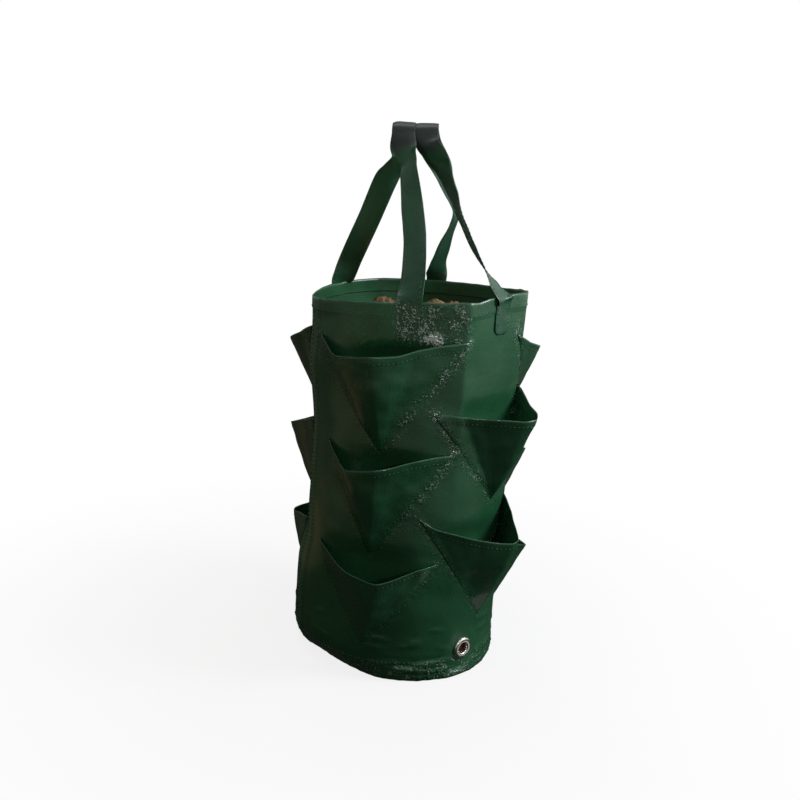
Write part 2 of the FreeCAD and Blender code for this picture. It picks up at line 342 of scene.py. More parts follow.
def wall_form(azimuth, z):
    """How far out the filled wall stands, without the sinking behind the pockets."""
    spot = outward(azimuth) * bag_radius + Vector((0, 0, z))
    r = bag_radius - 0.2
    # The flat-fold creases show near the rim, with a flat facet on each side
    upper = smooth(140, 320, z)
    for crease, sharp in flat_fold_creases:
        off = abs(turn(azimuth, crease))
        if off < facet_angle:
            chord = math.cos(math.radians(facet_angle / 2)) / math.cos(math.radians(off - facet_angle / 2))
            fade = smooth(0, 0.5, 1 - off / facet_angle)
            r += sharp * upper * fade * ((bag_radius + 2.2) * chord - bag_radius)
    # The left side is drawn in between its pockets, and bulges at the foot
    left = bell(turn(azimuth, -88) / 42)
    r -= 7.0 * left * smooth(80, 125, z) * (1 - smooth(215, 290, z))
    r += 1.8 * left * (1 - smooth(60, 110, z))
    # The right side is slimmer low down, and fuller under the rim
    r -= 1.6 * bell(turn(azimuth, 85) / 35) * (1 - smooth(150, 230, z))
    r += 1.5 * bell(turn(azimuth, 92) / 25) * smooth(270, 310, z)
    # Soft dents all round, shallow where the sheet is taut at the front right
    taut = 1 - 0.7 * bell(turn(azimuth, 58) / 34) * smooth(150, 200, z)
    r += 1.3 * taut * noise.noise(spot / 55) * smooth(0, 40, z)
    r += 0.7 * taut * noise.noise(spot / 21 + Vector((7, 0, 3))) * smooth(10, 50, z)
    free = away_from_eyelets(azimuth, z)
    return bag_radius - 0.3 + (r - bag_radius + 0.3) * free


def wall_spot(azimuth, z):
    """A spot on the wall's outer face in mm, and how crinkled the film is there, which also paints its
    glint flecks.
    """
    r = wall_form(azimuth, z)
    free = away_from_eyelets(azimuth, z)
    crinkle_and_glint = 0.0
    for lip, foot in pocket_lips.values():
        if abs(turn(azimuth, foot[0])) > 52 or not foot[1] - 20 < z < foot[1] + 125:
            continue
        # A pocket's seams pucker the sheet and leave its film crinkled, which also paints glint flecks
        for end in (lip[0], lip[-1]):
            gap, run = seam_distance(azimuth, z, end, foot)
            if gap < seam_reach:
                r += 0.15 * bell(gap / 4.0) * noise.noise(Vector((run / 2.6, gap / 6, foot[1]))) * free
                crinkle_and_glint = max(crinkle_and_glint, pulled(azimuth, z) * bell(gap / 8.0))
        # Behind the flap the wall sinks in, most in the middle
        deep = (foot[1] + pocket_deep - z) / pocket_deep
        if -0.15 < deep < 0.85:
            middle = lip[0][0] + 0.5 * turn(lip[-1][0], lip[0][0])
            middle += turn(foot[0], middle) * max(deep, 0)
            across = turn(azimuth, middle) / (36.0 * (1 - max(deep, 0)) + 0.1)
            if abs(across) < 1:
                sunk = 4.5 * (1 - across ** 2) ** 2
                r -= sunk * smooth(-0.05, 0.2, deep) * (1 - smooth(0.45, 0.85, deep))
    band = 1 - smooth(base_band - 6, base_band + 3, z)
    if band > 0 or z < 60:
        # The sewn band at the foot is gathered, and rumpled lengthways, most at the front right
        gather = noise.noise(Vector((azimuth * 0.30, z * 0.05, 4)))
        lengthways = noise.noise(Vector((azimuth * 0.07, z * 0.33, 8)))
        rumpled = 1.3 + 1.1 * bell(turn(azimuth, 30) / 34)
        r += free * band * (0.6 * gather + rumpled * lengthways)
        r -= free * 0.6 * bell((z - base_band) / 2.0)
        # The foot swells out at the front right and tucks under at the front left
        r += 2.8 * bell(turn(azimuth, 52) / 36) * max(0.0, 1 - z / 30) * free
        r -= 1.5 * max(0.0, 1 - z / 4) ** 2
        r -= 16.5 * bell(turn(azimuth, -46) / 34) * max(0.0, 1 - z / 22) ** 1.5
        # The band is crinkled more at the front right, which also paints more glint flecks there
        band_crinkle_and_glint = 0.58 + 0.3 * bell(turn(azimuth, 24) / 22)
        crinkle_and_glint = max(crinkle_and_glint, band_crinkle_and_glint * band)
        # Three slack folds run round above the band and fade in and out
        for fold, level in ((1, 33), (2, 41), (3, 50)):
            drift = level + 7 * noise.noise(Vector((azimuth / 24, fold, 0)))
            strong = smooth(0.0, 0.3, noise.noise(Vector((azimuth / 17, 0, fold * 5))))
            r += free * 0.9 * strong * bell((z - drift) / 2.2)
    hem = smooth(bag_height - rim_hem - 0.8, bag_height - rim_hem + 0.8, z)
    r += 0.3 * hem
    lap = turn(azimuth, lap_middle)
    r += 0.9 * smooth(-lap_half - 0.8, -lap_half, lap) * (1 - smooth(lap_half, lap_half + 0.8, lap))
    # The film by the front strap is crinkled more along the rim, which paints glint flecks there, and far
    # more at one spot, which paints a glare patch
    glint_boost = (1 - smooth(15, 26, abs(turn(azimuth, 9)))) * smooth(308, 318, z) * (1 - smooth(347, 352, z))
    glare_spot = math.exp(-(turn(azimuth, 9.5) / 6) ** 2 - ((z - 319) / 7) ** 2)
    crinkle_and_glint = max(crinkle_and_glint, 0.95 * glint_boost, 3.0 * glare_spot)
    high = z + smooth(300, bag_height, z) * rim_lift(azimuth)
    high += 0.9 * hem * noise.noise(Vector((azimuth * 0.11, 2, 5)))
    return outward(azimuth) * r + Vector((0, 0, high)), crinkle_and_glint


def finished_mesh(made, name):
    mesh = bpy.data.meshes.new(name)
    made.to_mesh(mesh)
    made.free()
    return mesh


def grid_mesh(name, place, across, down, closed=False, keep=None):
    """A sheet of quads: place(a, d) gives a spot and its pattern place in mm, how crinkled it is, which
    also paints glint flecks, and its painted shade with duller gloss.
    """
    made = bmesh.new()
    pattern = made.loops.layers.uv.new("weave")
    crinkled = made.verts.layers.float.new("crinkle_and_glint")
    shade_layer = made.verts.layers.float.new("painted_shade_and_dullness")
    grid, flat = [], []
    for j in range(down + 1):
        row, flat_row = [], []
        for i in range(across + 1):
            spot, spread, crinkle_and_glint, *painted_shade_and_dullness = place(i / across, j / down)
            flat_row.append((spread[0] * mm, spread[1] * mm))
            if closed and i == across:
                row.append(row[0])
                continue
            vert = made.verts.new(spot * mm)
            vert[crinkled] = crinkle_and_glint
            vert[shade_layer] = painted_shade_and_dullness[0] if painted_shade_and_dullness else 0.0
            row.append(vert)
        grid.append(row)
        flat.append(flat_row)
    for j in range(down):
        for i in range(across):
            if keep and not keep((i + 0.5) / across, (j + 0.5) / down):
                continue
            corners = ((j, i), (j, i + 1), (j + 1, i + 1), (j + 1, i))
            face = made.faces.new([grid[a][b] for a, b in corners])
            face.smooth = True
            for loop, (a, b) in zip(face.loops, corners):
                loop[pattern].uv = flat[a][b]
    loose = [v for v in made.verts if not v.link_faces]
    bmesh.ops.delete(made, geom=loose, context="VERTS")
    return finished_mesh(made, name)


def give_thickness(piece, thick, offset=-1.0):
    solid = piece.modifiers.new("thickness", "SOLIDIFY")
    solid.thickness = thick * mm
    solid.offset = offset


# Laminated woven polyethylene: flat tapes about 2.5 mm wide in a plain weave under a clear film.
# It gives a dark green with a fine grid and a broad soft gloss. Where the film is crinkled it is dotted
# with pale flecks, partly film pulled away from the tapes and whitened, partly painted glints; the flecks
# are a little metallic, so they also throw glints like small mirrors. The flakes are too fine to show, so
# they are drawn 1.3 mm apart. Where a strap turns over at the top it is painted a blue-grey shade and its
# gloss dulled.
tape_width = 2.5 * mm
crinkle_grain = 2.4 * mm
flake_pitch = 1.3 * mm


def woven_polyethylene(name, deep, light):
    made, tree = new_material(name)
    place = add_node(tree, "ShaderNodeUVMap", {"uv_map": "weave"}).outputs[0]
    warp = add_node(tree, "ShaderNodeTexWave", {"bands_direction": "X", "Scale": math.pi / 10 / tape_width},
                    {"Vector": place})
    weft = add_node(tree, "ShaderNodeTexWave", {"bands_direction": "Y", "Scale": math.pi / 10 / tape_width},
                    {"Vector": place})
    over = add_node(tree, "ShaderNodeTexChecker", {"Scale": 1 / tape_width}, {"Vector": place})
    weave = add_node(tree, "ShaderNodeMix", {"data_type": "FLOAT"},
                     {0: over.outputs["Fac"], 2: warp.outputs["Fac"], 3: weft.outputs["Fac"]})
    body = add_node(tree, "ShaderNodeTexCoord").outputs["Object"]
    cloud = add_node(tree, "ShaderNodeTexNoise", {"Scale": 1 / (60 * mm), "Detail": 4.0}, {"Vector": body})
    speck = add_node(tree, "ShaderNodeTexNoise", {"Scale": 1 / (2 * mm), "Detail": 2.0}, {"Vector": body})
    tone = add_node(tree, "ShaderNodeMath", {"operation": "MULTIPLY_ADD", 1: 0.35},
                    {0: speck.outputs["Fac"], 2: cloud.outputs["Fac"]})
    tint = add_node(tree, "ShaderNodeMapRange", {"From Min": 0.45, "From Max": 0.95},
                    {"Value": tone.outputs[0]})
    green = add_node(tree, "ShaderNodeMix",
                     {"data_type": "RGBA", 6: to_linear(deep), 7: to_linear(light)}, {0: tint.outputs[0]})
    crinkle_and_glint = add_node(tree, "ShaderNodeAttribute", {"attribute_name": "crinkle_and_glint"}).outputs["Fac"]
    # The same mask paints the strap tops a blue-grey shade and dulls their gloss
    painted_shade_and_dullness = add_node(tree, "ShaderNodeAttribute", {"attribute_name": "painted_shade_and_dullness"}).outputs["Fac"]
    green = add_node(tree, "ShaderNodeMix", {"data_type": "RGBA", 7: to_linear("#2c3034")},
                     {0: painted_shade_and_dullness, 6: green.outputs[2]})
    patch = add_node(tree, "ShaderNodeTexNoise", {"Scale": 1 / (11 * mm), "Detail": 2.0}, {"Vector": body})
    patchy = add_node(tree, "ShaderNodeMapRange", {"From Min": 0.34, "From Max": 0.52},
                      {"Value": patch.outputs["Fac"]})
    facet = add_node(tree, "ShaderNodeTexNoise",
                     {"Scale": 1 / crinkle_grain, "Detail": 3.0, "Roughness": 0.65}, {"Vector": body})
    local = add_node(tree, "ShaderNodeMath", {"operation": "MULTIPLY"}, {0: crinkle_and_glint, 1: patchy.outputs[0]})
    glint_boost = add_node(tree, "ShaderNodeMath", {"operation": "SUBTRACT", 1: 0.5}, {0: crinkle_and_glint})
    local = add_node(tree, "ShaderNodeMath", {"operation": "MAXIMUM"},
                     {0: local.outputs[0], 1: glint_boost.outputs[0]})
    # The more crinkled the film, the more flakes have lifted and gone pale, and the larger each one is;
    # they also stand for painted glints
    flake = add_node(tree, "ShaderNodeTexVoronoi", {"voronoi_dimensions": "2D", "Scale": 1 / flake_pitch},
                     {"Vector": place})
    chance = add_node(tree, "ShaderNodeSeparateColor", None, {0: flake.outputs["Color"]})
    share = add_node(tree, "ShaderNodeMath", {"operation": "MULTIPLY_ADD", 1: 0.52, 2: -0.06},
                     {0: local.outputs[0]})
    lifted = add_node(tree, "ShaderNodeMath", {"operation": "SUBTRACT"},
                      {0: share.outputs[0], 1: chance.outputs[0]})
    lifted = add_node(tree, "ShaderNodeMapRange", {"From Min": 0.0, "From Max": 0.35},
                      {"Value": lifted.outputs[0]})
    within = add_node(tree, "ShaderNodeMath", {"operation": "MULTIPLY_ADD", 1: -0.25},
                      {0: local.outputs[0], 2: flake.outputs["Distance"]})
    dot = add_node(tree, "ShaderNodeMapRange", {"From Min": 0.32, "From Max": 0.05},
                   {"Value": within.outputs[0]})
    pale_and_glint_flecks = add_node(tree, "ShaderNodeMath", {"operation": "MULTIPLY"},
                    {0: lifted.outputs[0], 1: dot.outputs[0]})
    # The pale flecks are partly whitened film and partly painted glints
    green = add_node(tree, "ShaderNodeMix", {"data_type": "RGBA", 7: to_linear("#c6d3ca")},
                     {0: pale_and_glint_flecks.outputs[0], 6: green.outputs[2]})
    glint = add_node(tree, "ShaderNodeMapRange", {"From Min": 0.5, "From Max": 0.9, "To Max": 0.3},
                     {"Value": pale_and_glint_flecks.outputs[0]})
    puckered = add_node(tree, "ShaderNodeMath", {"operation": "MULTIPLY"},
                        {0: facet.outputs["Fac"], 1: local.outputs[0]})
    ripple = add_node(tree, "ShaderNodeTexNoise", {"Scale": 1 / (9 * mm), "Detail": 3.0}, {"Vector": body})
    bump = add_node(tree, "ShaderNodeBump", {"Strength": 0.15, "Distance": 0.2 * mm},
                    {"Height": weave.outputs[0]})
    bump = add_node(tree, "ShaderNodeBump", {"Strength": 0.3, "Distance": 0.7 * mm},
                    {"Height": ripple.outputs["Fac"], "Normal": bump.outputs[0]})
    bump = add_node(tree, "ShaderNodeBump", {"Strength": 1.0, "Distance": 0.9 * mm},
                    {"Height": puckered.outputs[0], "Normal": bump.outputs[0]})
    film = add_node(tree, "ShaderNodeMapRange", {"To Min": 0.24, "To Max": 0.36},
                    {"Value": cloud.outputs["Fac"]})
    gloss = add_node(tree, "ShaderNodeMix", {"data_type": "FLOAT", 3: 0.14},
                     {0: local.outputs[0], 2: film.outputs[0]})
    gloss = add_node(tree, "ShaderNodeMix", {"data_type": "FLOAT", 3: 0.55},
                     {0: painted_shade_and_dullness, 2: gloss.outputs[0]})
    shader = add_node(tree, "ShaderNodeBsdfPrincipled",
                      {"IOR": 1.43, "Coat Weight": 0.16, "Coat Roughness": 0.08},
                      {"Base Color": green.outputs[2], "Metallic": glint.outputs[0],
                       "Roughness": gloss.outputs[0], "Normal": bump.outputs[0],
                       "Coat Normal": bump.outputs[0]})
    add_node(tree, "ShaderNodeOutputMaterial", None, {"Surface": shader.outputs[0]})
    return made


green_sheet = woven_polyethylene("woven_polyethylene_green", "#1d4a2e", "#2a5c3c")

wall_across, wall_up = 300, 185
slit_cut = 2.0
slit_fade = 8.0
hem_roll = 4.0
hem_turn = 20.0
eyelet_hole = 6.5


def slit_near(azimuth, z):
    """How high a spot is over the nearest planting slit, and how far along the slit: 1 is its end."""
    found = (99.0, 9.0)
    for name, (lip, foot) in pocket_lips.items():
        short = name.startswith(("pocket_front_right", "pocket_back"))
        over = z - (short_slit_heights if short else slit_heights)[name[-1]] - slit_cut / 2
        away = abs(turn(azimuth, foot[0])) / slit_half
        if away < 1 and abs(over) < abs(found[0]):
            found = over, away
    return found


def wall_place(a, d):
    """Round the tube with a, and up with d, over the rim and down inside the hem."""
    azimuth, z = a * 360 - 180, d * (bag_height + hem_turn)
    over = max(0.0, z - bag_height)
    drop = max(0.0, over - hem_roll) / (hem_turn - hem_roll) * rim_hem
    above, away = slit_near(azimuth, z)
    gape = (slit_open - slit_cut) / 2 * max(0.0, 1 - away ** 2) * math.exp(-abs(above) / slit_fade)
    spot, crinkle_and_glint = wall_spot(azimuth, min(z, bag_height) - drop + math.copysign(gape, above))
    if over:
        roll = math.pi * min(over / hem_roll, 1.0)
        spot -= outward(azimuth) * (sheet_thick + 0.15) * (1 - math.cos(roll))
        spot.z += sheet_thick * math.sin(roll)
        crinkle_and_glint = 0.0
    return spot, (math.radians(azimuth) * bag_radius, z), crinkle_and_glint


def wall_is_whole(a, d):
    """False in the planting slit behind each pocket and in the two eyelet holes."""
    azimuth, z = a * 360 - 180, d * (bag_height + hem_turn)
    for place, height in eyelet_places:
        if math.hypot(math.radians(turn(azimuth, place)) * bag_radius, z - height) < eyelet_hole:
            return False
    return abs(slit_near(azimuth, z)[0]) > slit_cut / 2


wall_mesh = grid_mesh("bag_wall_sheet", wall_place, wall_across, wall_up, True, wall_is_whole)
wall = new_object("bag_wall_sheet", wall_mesh, green_sheet)
give_thickness(wall, sheet_thick)
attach(wall, "bag")
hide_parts("bag_wall")

# The wall's stitching: bonded polyester thread through the rim hem and both sides of the lap. Stitches
# of about 3 mm dip into the sheet at each end.
stitch_length = 3.0
stitch_pitch = 4.2
thread_sides = 6
# Along one stitch: share of its length, share of the thread's radius, radii over the sheet
stitch_form = ((0, 0.5, -0.6), (0.22, 1, 0.5), (0.5, 1, 0.7), (0.78, 1, 0.5), (1, 0.5, -0.6))


def join_rings(made, rings):
    for first, second in zip(rings, rings[1:]):
        for a in range(len(first)):
            b = (a + 1) % len(first)
            made.faces.new((first[a], first[b], second[b], second[a])).smooth = True


def add_stitches(made, run, thread_radius):
    """Thread along spots in mm, each given with the way out of the sheet."""
    lengths = [0.0]
    for (a, _), (b, _) in zip(run, run[1:]):
        lengths.append(lengths[-1] + (b - a).length)

    def spot_at(travel):
        i = max(k for k in range(len(run) - 1) if lengths[k] <= travel + 1e-9)
        t = min((travel - lengths[i]) / max(lengths[i + 1] - lengths[i], 1e-9), 1.0)
        return run[i][0].lerp(run[i + 1][0], t), run[i][1].lerp(run[i + 1][1], t).normalized()

    for k in range(int((lengths[-1] - stitch_length) / stitch_pitch) + 1):
        rings = []
        start = k * stitch_pitch
        ahead = (spot_at(start + stitch_length)[0] - spot_at(start)[0]).normalized()
        for share, swell, lift in stitch_form:
            spot, out = spot_at(start + share * stitch_length)
            across = ahead.cross(out).normalized()
            ring = []
            for corner in range(thread_sides):
                angle = corner * math.pi / (thread_sides / 2)
                reach = across * math.cos(angle) + out * math.sin(angle)
                ring.append(made.verts.new((spot + (out * lift + reach * swell) * thread_radius) * mm))
            rings.append(ring)
        join_rings(made, rings)
        made.faces.new(rings[0][::-1])
        made.faces.new(rings[-1])


def stitched(name, runs, thread_radius=0.34):
    made = bmesh.new()
    for run in runs:
        add_stitches(made, run, thread_radius)
    thread = new_object(name, finished_mesh(made, name), polyester_thread)
    return thread


# Bonded polyester thread: a hard twisted filament dyed to the sheet, with a dull shine of its own.
# The twist, about 0.4 mm, is too fine to show, so it is drawn at 0.8 mm.
polyester_thread, tree = new_material("bonded_polyester_thread")
body = add_node(tree, "ShaderNodeTexCoord").outputs["Object"]
twist = add_node(tree, "ShaderNodeTexNoise", {"Scale": 1 / (0.8 * mm), "Detail": 2.0}, {"Vector": body})
ply = add_node(tree, "ShaderNodeMix",
               {"data_type": "RGBA", 6: to_linear("#193e28"), 7: to_linear("#2d5a3e")},
               {0: twist.outputs["Fac"]})
bump = add_node(tree, "ShaderNodeBump", {"Strength": 0.5, "Distance": 0.15 * mm},
                {"Height": twist.outputs["Fac"]})
shader = add_node(tree, "ShaderNodeBsdfPrincipled", {"Roughness": 0.42, "IOR": 1.5},
                  {"Base Color": ply.outputs[2], "Normal": bump.outputs[0]})
add_node(tree, "ShaderNodeOutputMaterial", None, {"Surface": shader.outputs[0]})


def wall_run(spots):
    return [(wall_spot(azimuth, z)[0], outward(azimuth)) for azimuth, z in spots]


hem_row = [(azimuth, bag_height - rim_hem + 2.5) for azimuth in range(-180, 181, 2)]
lap_rows = [[(lap_middle + side * (lap_half - 1.3), z) for z in range(24, 347, 4)] for side in (-1, 1)]
wall_stitching = stitched("bag_wall_stitching", [wall_run(row) for row in [hem_row] + lap_rows])
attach(wall_stitching, "bag")

# The bottom: a round of the same sheet, its edge turned up inside the tube and sewn through the
# wall, so the bag stands on a puckered ring with the round slightly hollow inside it.
skirt = 14.0
base_gap = 1.3


def base_place(a, d):
    """From the middle of the round out to its edge, then up the skirt."""
    azimuth = a * 360 - 180
    reach = 0.02 + d * 1.18
    ring = smooth(0.80, 1.0, reach)
    up = max(0.0, reach - 1.0) / 0.2 * skirt
    edge, _ = wall_spot(azimuth, 2.0 + up)
    flat_r = min(reach, 1.0) * (edge.xy.length - base_gap)
    z = 1.6 + 1.4 * (1 - ring) + up + 0.5 * noise.noise(outward(azimuth) * flat_r / 18)
    return (outward(azimuth) * flat_r + Vector((0, 0, z)),
            tuple((outward(azimuth) * (flat_r + up)).xy), 0.7 * ring)


base_mesh = grid_mesh("base_round", base_place, 180, 40, True)
base = new_object("base_round", base_mesh, green_sheet)
give_thickness(base, sheet_thick, 1.0)
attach(base, "bag")
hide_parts("base_panel")
row_height = base_band - 3
base_row = [(azimuth, row_height) for azimuth in range(-180, 181, 2)
            if away_from_eyelets(azimuth, row_height) > 0.6]
breaks = [i for i in range(1, len(base_row)) if base_row[i][0] - base_row[i - 1][0] > 2]
base_rows = [base_row[a:b] for a, b in zip([0] + breaks, breaks + [len(base_row)])]
base_stitching = stitched("base_stitching", [wall_run(row) for row in base_rows])
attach(base_stitching, "bag")

# The pockets: thirteen triangles of the same sheet, hemmed along the lip, sewn to the wall along a V
# and pushed out from behind so that each stands open like a beak over its planting slit.
flap_across, flap_down = 56, 48
flap_thick = 0.5
flap_lift = 0.35
flap_half = 60.0
seam_inset = 3.2
pocket_runs = []


def pocket_flap(name, lip, foot):
    """One flap: a runs along its lip, and d from the lip down to the foot of its V."""
    shape = Vector((foot[0] * 0.7, foot[1] * 0.13, 11))

    def place(a, d):
        azimuth, r, z = through(lip, a, 0.45)
        stand = (r - bag_radius) * (1 - d) * (1 + 0.22 * d)
        azimuth += turn(foot[0] + (a - 0.5) * 2.6, azimuth) * d
        z += (foot[1] - z) * d
        edge = min(a, 1 - a) * 2
        from_seam = edge * (1 - d) * flap_half
        spot = outward(azimuth) * bag_radius + Vector((0, 0, z))
        soft = smooth(0.0, 0.35, edge) * (1 - smooth(0.75, 1.0, d))
        fold = 1.6 * noise.noise(spot / 26 + shape) + 0.7 * noise.noise(spot / 11 + shape)
        seam = bell(from_seam / 6.0)
        pucker = 0.15 * seam * noise.noise(Vector((d * 40, edge * 5, foot[1])))
        hem = 0.35 * (1 - smooth(0.06, 0.09, d))
        sewn_in = 0.55 * (1 - smooth(0.0, 6.0, from_seam))
        out = wall_form(azimuth, z) + flap_lift - sewn_in + stand + soft * fold + pucker + hem
        crinkle_and_glint = 0.95 * pulled(azimuth, z) * seam * (1 - 0.65 * smooth(0.70, 0.88, d))
        return outward(azimuth) * out + Vector((0, 0, z)), (math.radians(azimuth) * bag_radius, z), crinkle_and_glint

    def spot_and_way_out(a, d):
        across = place(a + 0.01, d)[0] - place(a - 0.01, d)[0]
        down = place(a, d + 0.01)[0] - place(a, d - 0.01)[0]
        return place(a, d)[0], down.cross(across).normalized()

    for edge in (0, 1):
        shares = [k / 40 * 0.93 for k in range(41)]
        inset = [min(seam_inset / (2 * flap_half * (1 - share)), 0.45) for share in shares]
        pocket_runs.append([spot_and_way_out(abs(edge - i), share) for i, share in zip(inset, shares)])
    pocket_runs.append([spot_and_way_out(0.03 + 0.94 * k / 60, 0.075) for k in range(61)])
    mesh = grid_mesh(name + "_flap", place, flap_across, flap_down)
    flap = new_object(name + "_flap", mesh, green_sheet)
    give_thickness(flap, flap_thick, 0.0)
    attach(flap, "bag")
    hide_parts(name)


for name, (lip, foot) in pocket_lips.items():
    pocket_flap(name, lip, foot)
pocket_stitching = stitched("pocket_stitching", pocket_runs)
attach(pocket_stitching, "bag")

# The handles: two straps of the same sheet folded to about 22 mm wide and sewn flat on the outside
# of the wall. Each runs from one side of the bag to the other and turns over at the top, where its colour
# is darkened to blue-grey as painted shade and its gloss is duller.
strap_width = 22.2
strap_thick = 1.2
strap_lift = 0.5
tail_low = 318.0
strap_top = 500.0


def strap_tail(azimuth, heights):
    """Spots where a strap lies sewn on the wall, with the way it lies across."""
    spots = []
    for z in heights:
        spot, _ = wall_spot(azimuth, z)
        spots.append((spot + outward(azimuth) * strap_lift, along(azimuth)))
    return spots


def turned(spots):
    return [(spot, -side) for spot, side in reversed(spots)]


# Each strap's run from one sewn end to the other: its middle in mm and the way it lies across
handle_runs = {
    "left": strap_tail(-5.5, (tail_low, 330, 344)) + [
        (Vector(row[:3]), Vector(row[3:])) for row in (
            (-8.0, -94.6, 351.5, 0.99, -0.12, 0), (-7.2, -91.8, 359.4, 0.95, -0.31, 0),
            (-6.2, -86.5, 371, 0.90, -0.43, 0), (-6.4, -77.0, 388, 0.86, -0.51, 0),
            (-10.3, -60.0, 415.8, 0.82, -0.57, 0), (-13.5, -47.0, 434.1, 0.75, -0.66, 0),
            (-17.6, -31.0, 455.9, 0.60, -0.80, 0), (-18.8, -23.0, 466.5, 0.57, -0.82, 0),
            (-22.8, -16.6, 477, 0.93, -0.36, 0),
            (-25.0, -15.0, 488, 1, 0, 0), (-25.2, -14.2, 496.2, 1, 0, 0),
            (-25.2, -6, 499.9, 1, 0, 0), (-25.6, 2.6, 495.5, 1, 0, 0),
            (-26.4, 4.0, 481, 0.98, 0.15, 0),
            (-26.1, 6.5, 470, 0.70, 0.70, -0.15), (-33.1, 12.8, 459, 0.68, 0.65, -0.36),
            (-39.7, 17.8, 449, 0.94, 0.15, -0.32), (-47.2, 26.5, 430.2, 0.94, -0.06, -0.32),
            (-54.7, 35.5, 410.7, 0.93, -0.15, -0.32), (-62.9, 44.4, 390.6, 0.95, -0.05, -0.32),
            (-71.4, 53.3, 369.9, 0.94, -0.02, -0.34), (-76.2, 56.0, 355.4, 0.90, 0.25, -0.34),
            (-78.9, 58.6, 345.5, 0.78, 0.55, -0.25))
    ] + turned(strap_tail(-129.5, (tail_low, 322, 331))),
    "right": strap_tail(53.0, (320, 332, 344)) + [
        (Vector(row[:3]), Vector(row[3:])) for row in (
            (74.8, -58.2, 354, 0.63, 0.78, 0), (68.2, -57.0, 361, 0.44, 0.9, 0.05),
            (64.0, -54.4, 367, 0.27, 0.96, 0.1), (57.8, -51.2, 375, 0.02, 1, 0.05),
            (46.0, -42.8, 393.6, -0.10, 0.99, -0.1), (34.5, -32.4, 416.8, -0.13, 0.98, -0.12),
            (28.2, -27.3, 428.5, -0.24, 0.96, -0.15), (19.8, -19.6, 446.5, -0.35, 0.92, -0.18),
            (12.0, -14.8, 462.0, -0.53, 0.76, -0.35), (5.5, -15.0, 472.0, -0.80, 0.45, -0.4),
            (-2.6, -14.8, 481, -0.9, 0.4, 0), (-4.2, -13.2, 488, -1, 0, -0.05),
            (-4.5, -12.8, 496.4, -1, 0, -0.06), (-4.6, -6, 500.2, -1, 0, -0.06),
            (-4.4, 1.2, 495.5, -1, 0, 0), (0.4, 6.5, 481, -0.93, -0.3, -0.2),
            (9.5, 17, 468, -0.79, -0.54, -0.3), (17.5, 29, 454, -0.6, -0.75, -0.3),
            (25.5, 41, 439, -0.39, -0.87, -0.29), (29.7, 51, 427, -0.30, -0.91, -0.29),
            (28.7, 58.5, 414.4, -0.39, -0.88, -0.29), (23.4, 68.5, 400, -0.55, -0.78, -0.29),
            (19.8, 78.8, 385, -0.70, -0.65, -0.29), (16.4, 90, 368, -0.82, -0.52, -0.21),
            (16.6, 98.2, 354.0, -0.92, 0.35, 0))
    ] + list(reversed(strap_tail(170.0, (tail_low, 330, 343)))),
}
strap_steps = 190
strap_round = 22
row_from_middle = 8.2
row_top = 466.0


def strap_frame(run, d):
    """The middle of a strap at a share of its run, the way it lies across, and the way out of its face."""
    centres, sides = [p for p, side in run], [side for p, side in run]
    ahead = (through(centres, min(d + 0.004, 1)) - through(centres, max(d - 0.004, 0))).normalized()
    side = through(sides, d)
    side = (side - ahead * side.dot(ahead)).normalized()
    return through(centres, d), side, ahead.cross(side)


def strap_bend(centre, wide):
    """How far the strap curls and ripples out of flat, least at the rim and at the top."""
    curl = 0.6 + 1.8 * smooth(356, 390, centre.z) * (1 - smooth(455, 475, centre.z))
    return (curl * noise.noise(centre / 31) * (2 * wide / strap_width) ** 2
            + 0.35 * noise.noise(centre / 9 + Vector((wide / 9, 0, 0))))


def strap_thickness(centre):
    return strap_thick * (0.5 + 0.5 * smooth(344, 358, centre.z))


def strap_mesh(name, run):
    middles = [strap_frame(run, k / strap_steps)[0] for k in range(strap_steps + 1)]
    travel = [0.0]
    for a, b in zip(middles, middles[1:]):
        travel.append(travel[-1] + (b - a).length)

    def place(a, d):
        centre, side, face = strap_frame(run, d)
        gone = travel[round(d * strap_steps)]
        to_end = min(gone, travel[-1] - gone)
        c, s = math.cos(a * 2 * math.pi), math.sin(a * 2 * math.pi)
        rounded = 1 - 0.45 * max(0.0, 1 - to_end / 6) ** 2
        gathered = 1 - 0.06 * smooth(478, 490, centre.z)
        wide = math.copysign(abs(c) ** 0.55, c) * strap_width / 2 * rounded * gathered
        edge = abs(wide) / (strap_width / 2)
        thick = math.copysign(abs(s) ** 0.55, s) * strap_thickness(centre) / 2
        thick *= 1 - 0.3 * bell((edge - 0.80) / 0.06)
        spot = centre + side * wide + face * (thick + strap_bend(centre, wide))
        # The outer edge of the left handle droops at the top
        if wide * side.x < 0 and name.startswith("handle_left"):
            spot.z -= 2.0 * edge ** 4 * bell((centre.z - strap_top) / 6)
        # Sewn ends are crinkled, the front one all over, which also paints glint flecks on them
        front = centre.y < -90 and centre.x < 20
        sewn = (0.95 if front else 0.55 * smooth(0.35, 0.9, edge)) * (1 - smooth(346, 356, centre.z))
        # Where the strap turns over at the top it is painted a blue-grey shade and its gloss is dulled
        top_shade_and_dullness = 0.88 * smooth(472, 481, centre.z + 3 * noise.noise(spot / 8))
        return spot, (wide, gone), sewn, top_shade_and_dullness

    return grid_mesh(name, place, strap_round, strap_steps, True), travel[-1]


def strap_rows(run):
    """Rows of stitches along both faces of a strap, one near each edge, up to the bend at the top."""
    rows = []
    for wide in (-row_from_middle, row_from_middle):
        for front in (-1, 1):
            for first, last in ((0.02, 0.42), (0.62, 0.98)):
                row = []
                for k in range(61):
                    centre, side, face = strap_frame(run, first + (last - first) * k / 60)
                    lift = strap_bend(centre, wide) + front * (strap_thickness(centre) * 0.42 - 0.12)
                    if centre.z < row_top:
                        row.append((centre + side * wide + face * lift, face * front))
                rows.append(row)
    return rows


